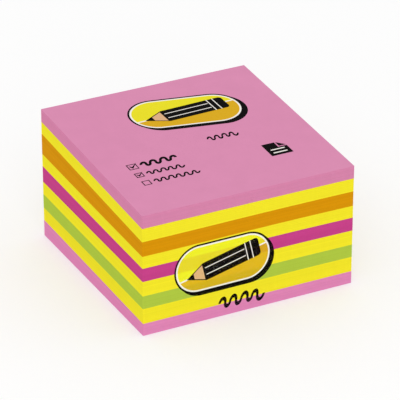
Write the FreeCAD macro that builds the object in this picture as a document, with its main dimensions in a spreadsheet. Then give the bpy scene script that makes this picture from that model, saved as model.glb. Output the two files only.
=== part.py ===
import FreeCAD, Part
import os

# A cube of sticky notes: square sheets of coloured paper in one stack, cut flush on all four sides.
# Each colour is a block of sheets of its own, and the blocks lie face to face from the underside up.
# A low-tack stripe on the back of every sheet, along its far edge, holds it to the sheet below. The stripe
# is a coat about a hundredth of a millimetre thick and belongs to its sheet. The stack measures thicker at
# the back than at the front, and some blocks thinner, so each block is a shallow wedge: it has one thickness
# at the front and another at the back.
# The origin is the middle of the underside. Z is up, the glued edge faces +Y and the front faces -Y.

# The driving dimensions, in millimetres: the sheet, then each block's thickness at the front and the back.
SIZES = {
    "sheet_width": 76.0,
    "sheet_depth": 76.0,
    "pink_sheets_bottom_front": 4.4,
    "pink_sheets_bottom_back": 5.9,
    "yellow_sheets_4_front": 5.4,
    "yellow_sheets_4_back": 4.8,
    "green_sheets_front": 4.6,
    "green_sheets_back": 5.2,
    "yellow_sheets_3_front": 5.2,
    "yellow_sheets_3_back": 4.6,
    "magenta_sheets_front": 4.7,
    "magenta_sheets_back": 5.8,
    "yellow_sheets_2_front": 4.3,
    "yellow_sheets_2_back": 4.5,
    "orange_sheets_front": 5.2,
    "orange_sheets_back": 7.5,
    "yellow_sheets_1_front": 4.7,
    "yellow_sheets_1_back": 4.4,
    "pink_sheets_top_front": 4.5,
    "pink_sheets_top_back": 4.6,
}

# The blocks from the underside up. Yellow paper lies between all the other colours.
BLOCKS = (
    "pink_sheets_bottom",
    "yellow_sheets_4",
    "green_sheets",
    "yellow_sheets_3",
    "magenta_sheets",
    "yellow_sheets_2",
    "orange_sheets",
    "yellow_sheets_1",
    "pink_sheets_top",
)


def add_sizes(doc):
    """The spreadsheet of driving dimensions: a name in column A, its value in column B under an alias."""
    sizes = doc.addObject("Spreadsheet::Sheet", "Sizes")
    for row, (name, value) in enumerate(SIZES.items(), start=1):
        sizes.set(f"A{row}", name)
        sizes.set(f"B{row}", str(value))
        sizes.setAlias(f"B{row}", name)
    doc.recompute()


def height_over(blocks, edge):
    """The expression for how high a stack of these blocks is at one edge, front or back."""
    return " + ".join(f"Sizes.{block}_{edge}" for block in blocks) or "0"


def add_block(doc, label, blocks_below):
    """One colour's block of sheets, standing on the blocks below it. Y runs from its front to its back."""
    block = doc.addObject("Part::Wedge", label)
    block.Label = label
    block.setExpression("Ymin", "-Sizes.sheet_depth / 2")
    block.setExpression("Ymax", "Sizes.sheet_depth / 2")
    for side_at_front, side_at_back, expression in (
        ("Xmin", "X2min", "-Sizes.sheet_width / 2"),
        ("Xmax", "X2max", "Sizes.sheet_width / 2"),
    ):
        block.setExpression(side_at_front, expression)
        block.setExpression(side_at_back, expression)
    for edge, underside, top in (("front", "Zmin", "Zmax"), ("back", "Z2min", "Z2max")):
        block.setExpression(underside, height_over(blocks_below, edge))
        block.setExpression(top, height_over((*blocks_below, label), edge))
    return block


def check(doc, blocks):
    """Stops the script if an object failed or a block isn't one valid solid."""
    for item in doc.Objects:
        if "Invalid" in item.State or "Error" in item.State:
            raise RuntimeError(f"{item.Label} failed: {item.State}")
    for block in blocks:
        shape = block.Shape
        if shape.isNull() or not shape.isValid() or len(shape.Solids) != 1:
            raise RuntimeError(f"{block.Label} isn't one valid solid")


doc = FreeCAD.newDocument("NoteCube")
add_sizes(doc)
blocks = [add_block(doc, label, BLOCKS[:place]) for place, label in enumerate(BLOCKS)]
doc.recompute()
check(doc, blocks)

os.makedirs("parts", exist_ok=True)
for block in blocks:
    block.Shape.exportStep(f"parts/{block.Label}.step")
    box = block.Shape.BoundBox
    print(f"{block.Label}: z {box.ZMin:.2f} to {box.ZMax:.2f} mm, {block.Shape.Volume:.0f} mm3")
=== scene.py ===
import bisect
import math
import random

import bmesh
import bpy
from mathutils import Matrix, Vector


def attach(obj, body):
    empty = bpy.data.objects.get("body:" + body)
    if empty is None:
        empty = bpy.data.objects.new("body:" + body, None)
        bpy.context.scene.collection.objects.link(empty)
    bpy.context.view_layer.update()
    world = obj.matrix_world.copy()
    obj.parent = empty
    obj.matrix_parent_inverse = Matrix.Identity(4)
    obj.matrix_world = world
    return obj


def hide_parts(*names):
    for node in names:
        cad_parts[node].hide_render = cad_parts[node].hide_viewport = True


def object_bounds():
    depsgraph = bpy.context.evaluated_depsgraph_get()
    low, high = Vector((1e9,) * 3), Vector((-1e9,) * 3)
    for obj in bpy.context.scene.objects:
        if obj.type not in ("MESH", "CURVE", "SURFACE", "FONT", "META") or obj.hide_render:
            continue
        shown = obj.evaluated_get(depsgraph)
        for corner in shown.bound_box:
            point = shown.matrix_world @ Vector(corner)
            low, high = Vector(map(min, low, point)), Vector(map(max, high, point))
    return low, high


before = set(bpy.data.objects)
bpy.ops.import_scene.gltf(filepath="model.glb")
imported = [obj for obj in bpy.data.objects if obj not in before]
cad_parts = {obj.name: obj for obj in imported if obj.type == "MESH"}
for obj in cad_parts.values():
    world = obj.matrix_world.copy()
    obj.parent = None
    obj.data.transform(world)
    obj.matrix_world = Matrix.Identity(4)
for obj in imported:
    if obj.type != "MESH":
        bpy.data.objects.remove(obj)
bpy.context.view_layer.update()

# The paper: wood-free and uncoated, dyed right through in five colours. The lowest block's pink is drawn
# brighter and deeper than the top's, painted light that offsets the shade near the floor. Its face is matt,
# with a short, felted fibre and a faint cloudiness. The cut edges are matt too, each sheet a shade off its
# neighbours, and the guillotine leaves faint upright knife marks across them.
MM = 0.001
FIBRE_LENGTH = 0.9      # mm, and the fibres' width below: real ones are a tenth of this, too fine to show
FIBRE_WIDTH = 0.25
CLOUD_SIZE = 7.0        # mm, the spacing of the denser patches that show when a sheet is held to the light
KNIFE_MARK_SPACING = 0.7
KNIFE_MARK_LENGTH = 12.0
PAPER_ROUGHNESS = 0.9
PAPER_SHEEN = 0.05
CUT_EDGE_PAINTED_SHADE = 1.06 # painted shade: the cut edges are drawn darker and deeper than the face, so the pad's sides read darker than its top


def linear(hex_colour):
    """An sRGB hex colour as linear red, green, blue and alpha."""
    channels = [int(hex_colour[i : i + 2], 16) / 255 for i in (0, 2, 4)]
    return (*(c / 12.92 if c <= 0.04045 else ((c + 0.055) / 1.055) ** 2.4 for c in channels), 1.0)


def shade(hex_colour, factor, depth=1.0):
    """The same dye, lighter or darker by a factor, and stronger where its depth is over 1."""
    return (*(min(1.0, factor * c**depth) for c in linear(hex_colour)[:3]), 1.0)


def add_node(material, kind, inputs=None, **settings):
    """Adds one node. inputs gives its sockets their values, or the outputs that they are linked to."""
    made = material.node_tree.nodes.new(kind)
    for setting, value in settings.items():
        setattr(made, setting, value)
    for socket, value in (inputs or {}).items():
        if isinstance(value, bpy.types.NodeSocket):
            material.node_tree.links.new(value, made.inputs[socket])
        else:
            made.inputs[socket].default_value = value
    return made


def new_material(name):
    """An empty node material with its output, and the object coordinates that patterns are laid out in."""
    material = bpy.data.materials.new(name)
    material.use_nodes = True
    material.node_tree.nodes.clear()
    place = add_node(material, "ShaderNodeTexCoord").outputs["Object"]
    return material, place


def tones(material, factor, dark, light):
    """A dye between two of its tones, each given as its place on the ramp and its colour."""
    ramp = add_node(material, "ShaderNodeValToRGB", {"Fac": factor})
    for stop, (place_on_ramp, colour) in zip(ramp.color_ramp.elements, (dark, light)):
        stop.position = place_on_ramp
        stop.color = colour
    return ramp.outputs["Color"]


def finish_with(material, colour, roughness, sheen, height, strength, depth):
    """Ends a material: its colour on a surface with a fine relief, whose depth is in millimetres."""
    relief = add_node(
        material,
        "ShaderNodeBump",
        {"Height": height, "Strength": strength, "Distance": depth * MM},
    )
    surface = add_node(
        material,
        "ShaderNodeBsdfPrincipled",
        {
            "Base Color": colour,
            "Roughness": roughness,
            "Specular IOR Level": sheen,
            "Normal": relief.outputs["Normal"],
        },
    )
    add_node(material, "ShaderNodeOutputMaterial", {"Surface": surface.outputs["BSDF"]})


def note_paper(name, colour):
    """The face of a sheet: matt, with fibres in all directions and faint clouds of tone."""
    material, place = new_material(name)
    clouds = add_node(
        material,
        "ShaderNodeTexNoise",
        {"Vector": place, "Scale": 1 / (CLOUD_SIZE * MM), "Detail": 3.0, "Roughness": 0.55},
    )
    fibres = []
    for turn in (0.35, 1.45, 2.5):
        laid = add_node(
            material,
            "ShaderNodeMapping",
            {
                "Vector": place,
                "Rotation": (0.0, 0.0, turn),
                "Scale": (1 / (FIBRE_LENGTH * MM), 1 / (FIBRE_WIDTH * MM), 1 / (FIBRE_WIDTH * MM)),
            },
        )
        fibres.append(
            add_node(
                material,
                "ShaderNodeTexNoise",
                {"Vector": laid.outputs["Vector"], "Scale": 1.0, "Detail": 2.0},
            ).outputs["Fac"]
        )
    crossed = add_node(material, "ShaderNodeMath", {0: fibres[0], 1: fibres[1]}, operation="MAXIMUM")
    felt = add_node(material, "ShaderNodeMath", {0: crossed.outputs[0], 1: fibres[2]}, operation="MAXIMUM")
    mottle = add_node(
        material,
        "ShaderNodeMix",
        {"Factor": 0.35, "A": clouds.outputs["Fac"], "B": felt.outputs[0]},
    )
    dye = tones(material, mottle.outputs["Result"], (0.3, shade(colour, 0.965)), (0.75, shade(colour, 1.03)))
    finish_with(material, dye, PAPER_ROUGHNESS, PAPER_SHEEN, felt.outputs[0], strength=0.35, depth=0.02)
    return material


def cut_paper(name, colour):
    """The guillotined edge of a block: each sheet in its own tone, crossed by faint knife marks, the whole
    edge darker than the face as painted shade.
    """
    material, place = new_material(name)
    sheet = add_node(material, "ShaderNodeAttribute", attribute_name="sheet_shade")
    upright = add_node(
        material,
        "ShaderNodeMapping",
        {
            "Vector": place,
            "Rotation": (0.12, -0.12, 0.0),
            "Scale": (
                1 / (KNIFE_MARK_SPACING * MM),
                1 / (KNIFE_MARK_SPACING * MM),
                1 / (KNIFE_MARK_LENGTH * MM),
            ),
        },
    )
    knife = add_node(
        material,
        "ShaderNodeTexNoise",
        {"Vector": upright.outputs["Vector"], "Scale": 1.0, "Detail": 3.0, "Roughness": 0.6},
    )
    mixed = add_node(
        material,
        "ShaderNodeMix",
        {"Factor": 0.4, "A": sheet.outputs["Fac"], "B": knife.outputs["Fac"]},
    )
    # Painted shade: the cut edge's colour is raised to a power over 1, so it comes out darker and deeper than
    # the face and the pad's sides read darker than its top.
    dark = (0.15, shade(colour, 0.95, CUT_EDGE_PAINTED_SHADE))
    light = (0.85, shade(colour, 1.04, CUT_EDGE_PAINTED_SHADE))
    dye = tones(material, mixed.outputs["Result"], dark, light)
    finish_with(material, dye, PAPER_ROUGHNESS, PAPER_SHEEN, knife.outputs["Fac"], strength=0.3, depth=0.02)
    return material


PAPER_COLOURS = {
    "pink": "D98DB1",
    # The lowest block's pink, brighter and deeper than the top sheet's: painted light against the shade at
    # the foot of the pad.
    "pink lifted by painted light": "E391C0",
    "yellow": "F2E730",
    "orange": "DA9A08",
    "magenta": "CB4A91",
    "green": "B6CD4C",
}
papers = {
    name: (
        note_paper(f"uncoated note paper, dyed {name}", colour),
        cut_paper(f"guillotined edge of {name} note paper", colour),
    )
    for name, colour in PAPER_COLOURS.items()
}

# The glue: an acrylic coat of tiny soft beads, rolled on the back of every sheet as a stripe along its far
# edge. It dries clear, satin and a little uneven at its rim. Only the lowest sheet's stripe can be seen, on
# the pad's underside, and the others are pressed flat between the sheets.
GLUE_THICKNESS = 0.01
GLUE_LENGTH = 72.0
GLUE_WIDTH = 19.0
GLUE_FROM_EDGE = 1.5
GLUE_RIM_WANDER = 0.25
GLUE_BEAD = 0.3         # mm: the real beads are a tenth of this, too fine to show
GLUE_ROUGHNESS = 0.42
GLUE_SHEEN = 0.5

STACK_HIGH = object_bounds()[1] / MM
HALF_DEPTH = STACK_HIGH.y
hand = random.Random(76)


def piece(name, bm, materials):
    """Turns a bmesh in millimetres into a piece of the pad that rides on its one body."""
    bmesh.ops.scale(bm, vec=(MM, MM, MM), verts=bm.verts)
    mesh = bpy.data.meshes.new(name)
    bm.to_mesh(mesh)
    bm.free()
    for material in materials:
        mesh.materials.append(material)
    made = bpy.data.objects.new(name, mesh)
    bpy.context.scene.collection.objects.link(made)
    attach(made, "root")
    return made


def glue_coat(name, colour):
    """Dried glue on dyed paper: clear, so it shows the paper's colour a little deeper, in pebbled satin."""
    material, place = new_material(name)
    beads = add_node(material, "ShaderNodeTexVoronoi", {"Vector": place, "Scale": 1 / (GLUE_BEAD * MM)})
    thick_and_thin = add_node(
        material,
        "ShaderNodeTexNoise",
        {"Vector": place, "Scale": 1 / (CLOUD_SIZE * MM), "Detail": 3.0},
    )
    dark, light = (0.35, shade(colour, 0.86)), (0.7, shade(colour, 0.95))
    tone = tones(material, thick_and_thin.outputs["Fac"], dark, light)
    pebbles = beads.outputs["Distance"]
    finish_with(material, tone, GLUE_ROUGHNESS, GLUE_SHEEN, pebbles, strength=0.5, depth=0.01)
    return material


glue_bm = bmesh.new()
bmesh.ops.create_grid(glue_bm, x_segments=48, y_segments=8, size=0.5)
bmesh.ops.scale(glue_bm, vec=(GLUE_LENGTH, GLUE_WIDTH, 1), verts=glue_bm.verts)
for vertex in glue_bm.verts:
    if vertex.is_boundary:
        vertex.co.x += hand.uniform(-GLUE_RIM_WANDER, GLUE_RIM_WANDER)
        vertex.co.y += hand.uniform(-GLUE_RIM_WANDER, GLUE_RIM_WANDER)
bmesh.ops.solidify(glue_bm, geom=glue_bm.faces, thickness=GLUE_THICKNESS)
bmesh.ops.recalc_face_normals(glue_bm, faces=glue_bm.faces)
glue_foot = min(vertex.co.z for vertex in glue_bm.verts)
glue_place = (0, HALF_DEPTH - GLUE_FROM_EDGE - GLUE_WIDTH / 2, -glue_foot)
bmesh.ops.translate(glue_bm, vec=glue_place, verts=glue_bm.verts)
# The glue takes its tone from the lowest block's brighter pink, whose lift is painted light.
glue = glue_coat("dried acrylic glue on pink paper", PAPER_COLOURS["pink lifted by painted light"])
piece("glue_stripe", glue_bm, [glue])

# The blocks: 50 sheets of one colour each, about 0.1 mm thick, stuck together along the far edge and cut
# flush as one stack. Each sheet is a slab of its own, its edge a little rounded over by the knife and a
# hundredth of a millimetre or two out of line with the next.
SHEETS_IN_BLOCK = 50
SHEET_SIZE = 75.8       # mm: a sheet of 76, less the room inside its solid to lean and lie out of line
SHEET_THICKNESS = 0.1   # mm, of the blank: each block stretches it to its own height
EDGE_ROUNDING = 0.018
PAPER_SHARE = 0.96      # of the height that a sheet takes up: the rest is the air between it and the next
SPANS_ACROSS = 8
WAVE_HEIGHT = 0.12
WAVE_ACROSS = 13.0      # mm for each radian of the wave from left to right
SLANTING_WAVE = (29.0, 17.0, 9.0)       # the same along x, y and z, for a weaker wave that runs aslant
SLANTING_SHARE = 0.6
LEAN = 0.02
LEAN_TURN = (31, 43)    # sheets for each radian of the slow lean to and fro, across and along
OUT_OF_LINE = 0.012
FOOT_OF_PAPER = 0.012   # mm above the desk, on the lowest sheet's glue
ROOM_FOR_INK = 0.045    # mm between the top sheet and the top of its solid

FACE, CUT = 0, 1


def sheet_blank():
    """One flat sheet as it comes off the knife, in spans short enough to follow the stack's waves."""
    bm = bmesh.new()
    bmesh.ops.create_cube(bm, size=1)
    bmesh.ops.scale(bm, vec=(SHEET_SIZE, SHEET_SIZE, SHEET_THICKNESS), verts=bm.verts)
    bmesh.ops.translate(bm, vec=(0, 0, SHEET_THICKNESS / 2), verts=bm.verts)
    rim = [e for e in bm.edges if abs(e.verts[0].co.z - e.verts[1].co.z) < EDGE_ROUNDING]
    bmesh.ops.bevel(
        bm,
        geom=rim,
        offset=EDGE_ROUNDING,
        affect="EDGES",
        segments=1,
        profile=0.5,
        material=-1,
    )
    for face in bm.faces:
        face.material_index = FACE if abs(face.normal.z) > 0.9 else CUT
    for step in range(1, SPANS_ACROSS):
        place = SHEET_SIZE * (step / SPANS_ACROSS - 0.5)
        for across in (Vector((1, 0, 0)), Vector((0, 1, 0))):
            everything = [*bm.verts, *bm.edges, *bm.faces]
            bmesh.ops.bisect_plane(bm, geom=everything, plane_co=across * place, plane_no=across)
    blank = bpy.data.meshes.new("sheet blank")
    bm.to_mesh(blank)
    bm.free()
    return blank


def block_heights(node):
    """The underside and the top of a block's paper at its front and its back, from its solid's corners."""
    paper_share = (STACK_HIGH.z - ROOM_FOR_INK - FOOT_OF_PAPER) / STACK_HIGH.z
    corners = [vertex.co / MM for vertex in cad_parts[node].data.vertices]
    front = [FOOT_OF_PAPER + paper_share * corner.z for corner in corners if corner.y < 0]
    back = [FOOT_OF_PAPER + paper_share * corner.z for corner in corners if corner.y > 0]
    return (min(front), min(back)), (max(front), max(back))


def between(front_and_back, y):
    """A height that runs straight from one value at the front of the stack to another at its back."""
    front, back = front_and_back
    return front + (back - front) * (y + HALF_DEPTH) / (2 * HALF_DEPTH)


top_of_stack = block_heights("pink_sheets_top")[1]


def settle(point):
    """The soft waves of a stack that has lain in a drawer: none at its foot or its top, most half way up."""
    swell = math.sin(math.pi * point.z / between(top_of_stack, point.y))
    slant_x, slant_y, slant_z = SLANTING_WAVE
    slanting = math.sin(point.y / slant_y - point.x / slant_x + point.z / slant_z)
    roll = math.sin(point.x / WAVE_ACROSS + 0.6) + SLANTING_SHARE * slanting
    return Vector((point.x, point.y, point.z + WAVE_HEIGHT * swell * roll))


blank = sheet_blank()
front_edges = []        # of every sheet from the foot up: underside, top, how far it stands back, and colour


def block_of_sheets(name, node, paper):
    """Lays the sheets of one colour on each other between the planes of the block's solid."""
    underside, top = block_heights(node)
    bm = bmesh.new()
    shades = bm.faces.layers.float.new("sheet_shade")
    for number in range(SHEETS_IN_BLOCK):
        placed = len(front_edges)
        shift = Vector(
            (
                LEAN * math.sin(placed / LEAN_TURN[0]) + hand.uniform(-OUT_OF_LINE, OUT_OF_LINE),
                LEAN * math.sin(placed / LEAN_TURN[1] + 1) + hand.uniform(-OUT_OF_LINE, OUT_OF_LINE),
                0,
            )
        )
        shade_of_sheet = hand.random()
        verts_before, faces_before = len(bm.verts), len(bm.faces)
        bm.from_mesh(blank)
        bm.verts.ensure_lookup_table()
        bm.faces.ensure_lookup_table()
        for vertex in bm.verts[verts_before:]:
            low = between(underside, vertex.co.y)
            high = between(top, vertex.co.y)
            in_sheet = 0.5 + PAPER_SHARE * (vertex.co.z / SHEET_THICKNESS - 0.5)
            vertex.co.z = low + (high - low) * (number + in_sheet) / SHEETS_IN_BLOCK
            vertex.co = settle(vertex.co + shift)
        for face in bm.faces[faces_before:]:
            face[shades] = shade_of_sheet
        pitch = (top[0] - underside[0]) / SHEETS_IN_BLOCK
        foot = underside[0] + pitch * number
        front_edges.append((foot, foot + pitch, shift.y, paper))
    made = piece(name, bm, papers[paper])
    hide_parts(node)


# The lowest block takes the brighter pink: painted light that offsets the shade near the floor.
block_of_sheets("pink_notes_bottom", "pink_sheets_bottom", "pink lifted by painted light")
block_of_sheets("yellow_notes_4", "yellow_sheets_4", "yellow")
block_of_sheets("green_notes", "green_sheets", "green")
block_of_sheets("yellow_notes_3", "yellow_sheets_3", "yellow")
block_of_sheets("magenta_notes", "magenta_sheets", "magenta")
block_of_sheets("yellow_notes_2", "yellow_sheets_2", "yellow")
block_of_sheets("orange_notes", "orange_sheets", "orange")
block_of_sheets("yellow_notes_1", "yellow_sheets_1", "yellow")
block_of_sheets("pink_notes_top", "pink_sheets_top", "pink")

# The print: five inks, screened on the top sheet and on the stack's front, where they take on some of the
# colour of the paper under them. Each ink is a film a few thousandths of a millimetre thick. On the front
# it sits on every sheet's edge by itself, so it breaks when a sheet is peeled off.
INK_THICKNESS = 0.004
INK_SOAK = 0.001        # mm that the ink sinks into the paper
INK_HEIGHT_ON_EDGE = 0.96
ON_SEAM = 1e-4          # mm: an edge this level lies along a cut between two sheets
INK_ROUGHNESS = 0.7
INK_SHEEN = 0.03
BLACK, WHITE, LEMON, GOLD, WOOD = range(5)
ARC_STEPS = 64
SLANT = 0.3             # how far the handwriting leans to the right for each millimetre up
PEN_STEPS = 10


def ink(name, colour, show_through):
    """Screen ink on paper: flat and a little less matt, mottled by the fibres, tinted by the paper."""
    material, place = new_material(name)
    paper = add_node(material, "ShaderNodeAttribute", attribute_name="paper_tint")
    mottle = add_node(
        material,
        "ShaderNodeTexNoise",
        {"Vector": place, "Scale": 1 / (FIBRE_LENGTH * MM), "Detail": 4.0, "Roughness": 0.6},
    )
    laid_down = tones(material, mottle.outputs["Fac"], (0.3, shade(colour, 0.97)), (0.7, shade(colour, 1.02)))
    tinted = add_node(
        material,
        "ShaderNodeMix",
        {"Factor": show_through, "A": laid_down, "B": paper.outputs["Color"]},
        data_type="RGBA",
        blend_type="MULTIPLY",
    )
    flat = tinted.outputs["Result"]
    finish_with(material, flat, INK_ROUGHNESS, INK_SHEEN, mottle.outputs["Fac"], strength=0.2, depth=0.02)
    return material


inks = [
    ink("black screen ink", "070405", 0.0),
    ink("opaque white screen ink", "F6F5EC", 0.08),
    ink("lemon yellow screen ink", "F2F42C", 0.25),
    ink("golden yellow screen ink", "E2BB22", 0.25),
    ink("light brown screen ink", "E2B98A", 0.15),
]


def shape(bm, points, ink_used, level):
    """A straight-sided area of one ink. The level says how many films lie under it."""
    area = bm.faces.new([bm.verts.new((x, y, level * INK_THICKNESS)) for x, y in points])
    area.material_index = ink_used
    area.normal_update()
    return area


def bar(bm, left, right, low, high, ink_used, level):
    """An upright rectangle of one ink."""
    return shape(bm, ((left, low), (right, low), (right, high), (left, high)), ink_used, level)


def pill(bm, length, height, ink_used, level, middle=(0, 0)):
    """An area with straight sides above and below and a half circle at each end."""
    made = bmesh.ops.create_circle(bm, cap_ends=True, segments=ARC_STEPS, radius=height / 2)["verts"]
    half_step = Matrix.Rotation(math.pi / ARC_STEPS, 3, "Z")
    bmesh.ops.rotate(bm, cent=(0, 0, 0), matrix=half_step, verts=made)
    for vertex in made:
        vertex.co.x += math.copysign((length - height) / 2, vertex.co.x)
    bmesh.ops.translate(bm, vec=(*middle, level * INK_THICKNESS), verts=made)
    made[0].link_faces[0].material_index = ink_used
    return made[0].link_faces[0]


def scribble(bm, left, low, radii, stroke, tall):
    """A black pen stroke that swings over and under its line, in half circles made taller and slanted."""
    rim = [bm.verts.new((side * stroke / 2, 0, 0)) for side in (-1, 1)]
    end = [*rim, bm.edges.new(rim)]
    verts_before = set(bm.verts) - set(rim)
    faces_before = set(bm.faces)
    at = 0.0
    turn = -math.pi
    for radius in radii:
        middle = (at + radius, 0, 0)
        spun = bmesh.ops.spin(bm, geom=end, cent=middle, axis=(0, 0, 1), angle=turn, steps=PEN_STEPS)
        end = spun["geom_last"]
        at += 2 * radius
        turn = -turn
    written = list(set(bm.verts) - verts_before)
    bmesh.ops.transform(bm, matrix=Matrix(((1, SLANT, 0), (0, tall, 0), (0, 0, 1))), verts=written)
    bmesh.ops.translate(bm, vec=(left, low, 0), verts=written)
    for face in set(bm.faces) - faces_before:
        face.material_index = BLACK


def pencil_badge():
    """A pill-shaped badge with a drop shadow, in two yellows that part along a black pencil."""
    length, height, rim, keyline, shadow = 37.0, 18.6, 0.65, 0.6, 1.1
    tilt = math.radians(13)
    end, side, lead, cone, outline = 14.2, 3.5, 2.9, 7.0, 0.4
    rubber_rounding, highlight, ferrule = 1.2, 0.34, (5.2, 3.2)
    ridge_height = 0.38 * side
    bm = bmesh.new()
    pill(bm, length, height, BLACK, 0, middle=(shadow, -shadow))
    pill(bm, length, height, BLACK, 1)
    pill(bm, length - 2 * rim, height - 2 * rim, WHITE, 2)
    inset = 2 * (rim + keyline)
    across = Vector((-math.sin(tilt), math.cos(tilt), 0))
    for ink_used, half in ((LEMON, 1), (GOLD, -1)):
        field = pill(bm, length - inset, height - inset, ink_used, 3)
        bmesh.ops.bisect_plane(
            bm,
            geom=[field, *field.edges, *field.verts],
            plane_co=across * half * keyline / 2,
            plane_no=across * half,
            clear_inner=True,
        )
    badge = set(bm.verts)
    body_outline = ((-end, 0), (cone - end, -side), (end, -side), (end, side), (cone - end, side))
    body = shape(bm, body_outline, BLACK, 4)
    rubber = [vertex for vertex in body.verts if vertex.co.x > 0]
    bmesh.ops.bevel(
        bm,
        geom=rubber,
        offset=rubber_rounding,
        affect="VERTICES",
        segments=5,
        profile=0.5,
        material=-1,
    )
    slope = side / cone
    shaved = cone - outline
    shape(
        bm,
        (
            (lead - end, outline - lead * slope),
            (shaved - end, outline - shaved * slope),
            (shaved - end, shaved * slope - outline),
            (lead - end, lead * slope - outline),
        ),
        WOOD,
        5,
    )
    for ridge in (-ridge_height, ridge_height):
        left, right = cone + outline - end, end - ferrule[0] - outline
        bar(bm, left, right, ridge - highlight / 2, ridge + highlight / 2, WHITE, 5)
    for ring in ferrule:
        bar(bm, end - ring, end - ring + highlight, -side, side, WHITE, 5)
    pencil = [vertex for vertex in bm.verts if vertex not in badge]
    bmesh.ops.rotate(bm, cent=(0, 0, 0), matrix=Matrix.Rotation(tilt, 3, "Z"), verts=pencil)
    return bm


def underline(size):
    """A handwritten wavy line."""
    bm = bmesh.new()
    radii = [size * share for share in (1.0, 0.85, 1.05, 0.9, 1.1, 0.8, 0.95, 1.15)]
    scribble(bm, -sum(radii), 0, radii, stroke=0.85 * size, tall=1.6)
    return bm


def tick_list():
    """Three boxes, two of them ticked, each with a written line beside it."""
    gap, step, box_line = 1.3, 5.3, 0.5
    swings = (1.0, 0.8, 1.1, 0.9, 1.2, 0.8, 1.0, 1.1, 0.9, 1.2, 0.8, 1.0)
    rows = ((3.4, 12.4, 0.95, 7, True), (2.8, 13.2, 0.62, 10, True), (2.8, 16.0, 0.62, 12, False))
    bm = bmesh.new()
    for row, (box, line_length, stroke, swing_count, ticked) in enumerate(rows):
        low = -step * row
        outline = bar(bm, 0, box, low, low + box, BLACK, 0)
        bmesh.ops.inset_region(bm, faces=[outline], thickness=box_line, use_boundary=True)
        bmesh.ops.delete(bm, geom=[outline], context="FACES_ONLY")
        if ticked:
            tick = ((0.22, 0.52), (0.42, 0.18), (1.15, 1.12), (0.44, 0.5), (0.27, 0.74))
            shape(bm, [(x * box, low + y * box) for x, y in tick], BLACK, 1)
        unit = line_length / (2 * sum(swings[:swing_count]))
        radii = [unit * share for share in swings[:swing_count]]
        scribble(bm, box + gap, low + box / 2, radii, stroke, tall=1.3)
    return bm


def note_mark():
    """A small black sheet with one corner folded over and two lines of writing."""
    edge, fold, crease, line, margin = 3.4, 2.3, 0.4, 0.5, 1.2
    notch = edge - fold - crease
    tip = edge - fold
    sheet = ((-edge, -edge), (edge, -edge), (edge, notch), (notch, notch), (notch, edge), (-edge, edge))
    bm = bmesh.new()
    shape(bm, sheet, BLACK, 0)
    shape(bm, ((tip, tip), (edge, tip), (tip, edge)), BLACK, 0)
    for low in (margin - edge, -line):
        bar(bm, margin - edge, edge - margin, low, low + line, WHITE, 1)
    return bm


def as_film(bm):
    """Gives every area of a flat design the thickness of its ink, from the paper up."""
    bm.normal_update()
    bmesh.ops.reverse_faces(bm, faces=[face for face in bm.faces if face.normal.z < 0])
    bmesh.ops.solidify(bm, geom=bm.faces, thickness=INK_THICKNESS)
    bmesh.ops.recalc_face_normals(bm, faces=bm.faces)
    foot = min(vertex.co.z for vertex in bm.verts)
    bmesh.ops.translate(bm, vec=(0, 0, -foot - INK_SOAK), verts=bm.verts)


def inks_used(bm):
    """The inks up to the last one that a design needs."""
    return inks[: 1 + max(face.material_index for face in bm.faces)]


def print_on_top(name, bm, middle, turn=0.0, size=1.0):
    """Lays a design on the top sheet, which rises towards the glued edge."""
    as_film(bm)
    air_on_top = (1 - PAPER_SHARE) / 2 * SHEET_THICKNESS
    place = Matrix.Translation((*middle, -air_on_top)) @ Matrix.Rotation(turn, 4, "Z")
    bmesh.ops.transform(bm, matrix=place @ Matrix.Diagonal((size, size, 1, 1)), verts=bm.verts)
    tints = bm.verts.layers.float_color.new("paper_tint")
    for vertex in bm.verts:
        vertex.co.z += between(top_of_stack, vertex.co.y)
        vertex[tints] = linear(PAPER_COLOURS["pink"])
    piece(name, bm, inks_used(bm))


def print_on_front(name, bm, middle, size=1.0):
    """Lays a design on the stack's front: it is parted at every sheet, and each strip keeps to its edge."""
    place = Matrix.Translation((*middle, 0)) @ Matrix.Diagonal((size, size, 1, 1))
    bmesh.ops.transform(bm, matrix=place, verts=bm.verts)
    lowest = min(vertex.co.y for vertex in bm.verts)
    highest = max(vertex.co.y for vertex in bm.verts)
    feet = [foot for foot, _, _, _ in front_edges]
    cuts = [((0, foot, 0), (0, 1, 0)) for foot in feet if lowest < foot < highest]
    for step in range(1, SPANS_ACROSS):
        cuts.append(((SHEET_SIZE * (step / SPANS_ACROSS - 0.5), 0, 0), (1, 0, 0)))
    for point, across in cuts:
        everything = [*bm.verts, *bm.edges, *bm.faces]
        bmesh.ops.bisect_plane(bm, geom=everything, plane_co=point, plane_no=across)
    seams = [e for e in bm.edges if e.is_manifold and abs(e.verts[0].co.y - e.verts[1].co.y) < ON_SEAM]
    bmesh.ops.split_edges(bm, edges=seams)
    for vertex in bm.verts:
        row = bisect.bisect(feet, vertex.link_faces[0].calc_center_bounds().y) - 1
        middle_of_edge = (front_edges[row][0] + front_edges[row][1]) / 2
        vertex.co.y = middle_of_edge + INK_HEIGHT_ON_EDGE * (vertex.co.y - middle_of_edge)
    as_film(bm)
    tints = bm.verts.layers.float_color.new("paper_tint")
    for vertex in bm.verts:
        _, _, setback, paper = front_edges[bisect.bisect(feet, vertex.co.y) - 1]
        vertex.co = settle(Vector((vertex.co.x, setback - SHEET_SIZE / 2 - vertex.co.z, vertex.co.y)))
        vertex[tints] = linear(PAPER_COLOURS[paper])
    piece(name, bm, inks_used(bm))


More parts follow.
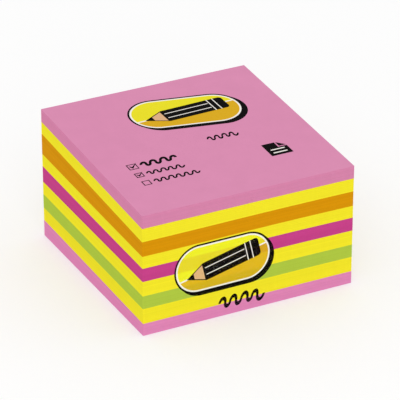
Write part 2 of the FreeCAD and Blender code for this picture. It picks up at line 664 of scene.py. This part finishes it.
print_on_top("pencil_badge_top", pencil_badge(), middle=(5.0, 16.9), turn=math.radians(-11), size=1.06)
print_on_top("wavy_line_top", underline(0.7), middle=(8.5, -3.0))
print_on_top("tick_list_top", tick_list(), middle=(-28.8, -10.8))
print_on_top("note_mark_top", note_mark(), middle=(20.8, -17.6), size=1.15)
print_on_front("pencil_badge_front", pencil_badge(), middle=(-9.4, 19.4), size=0.94)
print_on_front("wavy_line_front", underline(1.03), middle=(-2.6, 4.68))

# The studio: a white floor that the pad stands on, a white sky that lights it evenly from all sides, and
# one wide, soft lamp beside the camera. The floor and the sky both show as white to the camera, and to
# reflections and light that passes through.
FLOOR_SIZE = 8.0
FLOOR_GLOW = 0.4
SKY_STRENGTH = 0.91
LAMP_SIZE = 1.2
LAMP_POWER = 6.9
LAMP_PLACE = (-0.7, -1.45, 0.75)


def seen_in_picture(material):
    """1 where a ray is on its way to the camera, straight, mirrored or through something clear, else 0."""
    path = add_node(material, "ShaderNodeLightPath").outputs
    plain = {0: path["Is Camera Ray"], 1: path["Is Glossy Ray"]}
    mirrored = add_node(material, "ShaderNodeMath", plain, operation="MAXIMUM")
    through = {0: mirrored.outputs[0], 1: path["Is Transmission Ray"]}
    return add_node(material, "ShaderNodeMath", through, operation="MAXIMUM")


floor_bm = bmesh.new()
bmesh.ops.create_grid(floor_bm, x_segments=1, y_segments=1, size=FLOOR_SIZE / 2)
floor_mesh = bpy.data.meshes.new("floor")
floor_bm.to_mesh(floor_mesh)
floor_bm.free()
floor = bpy.data.objects.new("floor", floor_mesh)
bpy.context.scene.collection.objects.link(floor)
floor_paint, _ = new_material("white studio floor")
seen_directly = seen_in_picture(floor_paint)
floor_colour = add_node(
    floor_paint,
    "ShaderNodeMix",
    {"Factor": seen_directly.outputs[0], "A": linear("F4F4F4"), "B": linear("FFFFFF")},
    data_type="RGBA",
)
floor_finish = add_node(
    floor_paint,
    "ShaderNodeBsdfDiffuse",
    {"Color": floor_colour.outputs["Result"]},
)
plain_white = add_node(floor_paint, "ShaderNodeEmission", {"Color": linear("FFFFFF"), "Strength": 1.0})
share_of_white = add_node(
    floor_paint,
    "ShaderNodeMath",
    {0: seen_directly.outputs[0], 1: FLOOR_GLOW},
    operation="MULTIPLY",
)
lightened = add_node(
    floor_paint,
    "ShaderNodeMixShader",
    {0: share_of_white.outputs[0], 1: floor_finish.outputs["BSDF"], 2: plain_white.outputs["Emission"]},
)
add_node(floor_paint, "ShaderNodeOutputMaterial", {"Surface": lightened.outputs["Shader"]})
floor_mesh.materials.append(floor_paint)

sky = bpy.data.worlds.new("white sky")
sky.use_nodes = True
sky.node_tree.nodes.clear()
direct = seen_in_picture(sky)
level = add_node(
    sky,
    "ShaderNodeMath",
    {0: direct.outputs[0], 1: 1 - SKY_STRENGTH, 2: SKY_STRENGTH},
    operation="MULTIPLY_ADD",
)
glow = add_node(sky, "ShaderNodeBackground", {"Color": (1, 1, 1, 1), "Strength": level.outputs[0]})
add_node(sky, "ShaderNodeOutputWorld", {"Surface": glow.outputs["Background"]})
bpy.context.scene.world = sky

lamp_data = bpy.data.lights.new("soft lamp", "AREA")
lamp_data.shape = "SQUARE"
lamp_data.size = LAMP_SIZE
lamp_data.energy = LAMP_POWER
lamp = bpy.data.objects.new("soft lamp", lamp_data)
lamp.location = LAMP_PLACE
lamp.rotation_euler = (-Vector(LAMP_PLACE)).to_track_quat("-Z", "Y").to_euler()
bpy.context.scene.collection.objects.link(lamp)

# The camera: a long lens nearly a metre away, 27 degrees left of the front and 28 degrees up, aimed a little
# right of the middle of the pad.
AZIMUTH = math.radians(-27.085)
ELEVATION = math.radians(27.61)
CAMERA_DISTANCE = 0.9442
LENS = 258.17
FILM_WIDTH = 36.0
AIM_HEIGHT = 22.0 * MM
AIM_RIGHT = 1.53 * MM

back = Vector(
    (
        math.sin(AZIMUTH) * math.cos(ELEVATION),
        -math.cos(AZIMUTH) * math.cos(ELEVATION),
        math.sin(ELEVATION),
    )
)
right = (-back).cross(Vector((0, 0, 1))).normalized()
aim = Vector((0, 0, AIM_HEIGHT)) + right * AIM_RIGHT
camera_data = bpy.data.cameras.new("camera")
camera_data.lens = LENS
camera_data.sensor_width = FILM_WIDTH
camera = bpy.data.objects.new("camera", camera_data)
camera.location = aim + back * CAMERA_DISTANCE
camera.rotation_euler = (-back).to_track_quat("-Z", "Y").to_euler()
bpy.context.scene.collection.objects.link(camera)
bpy.context.scene.camera = camera
bpy.context.scene.view_settings.view_transform = "Standard"
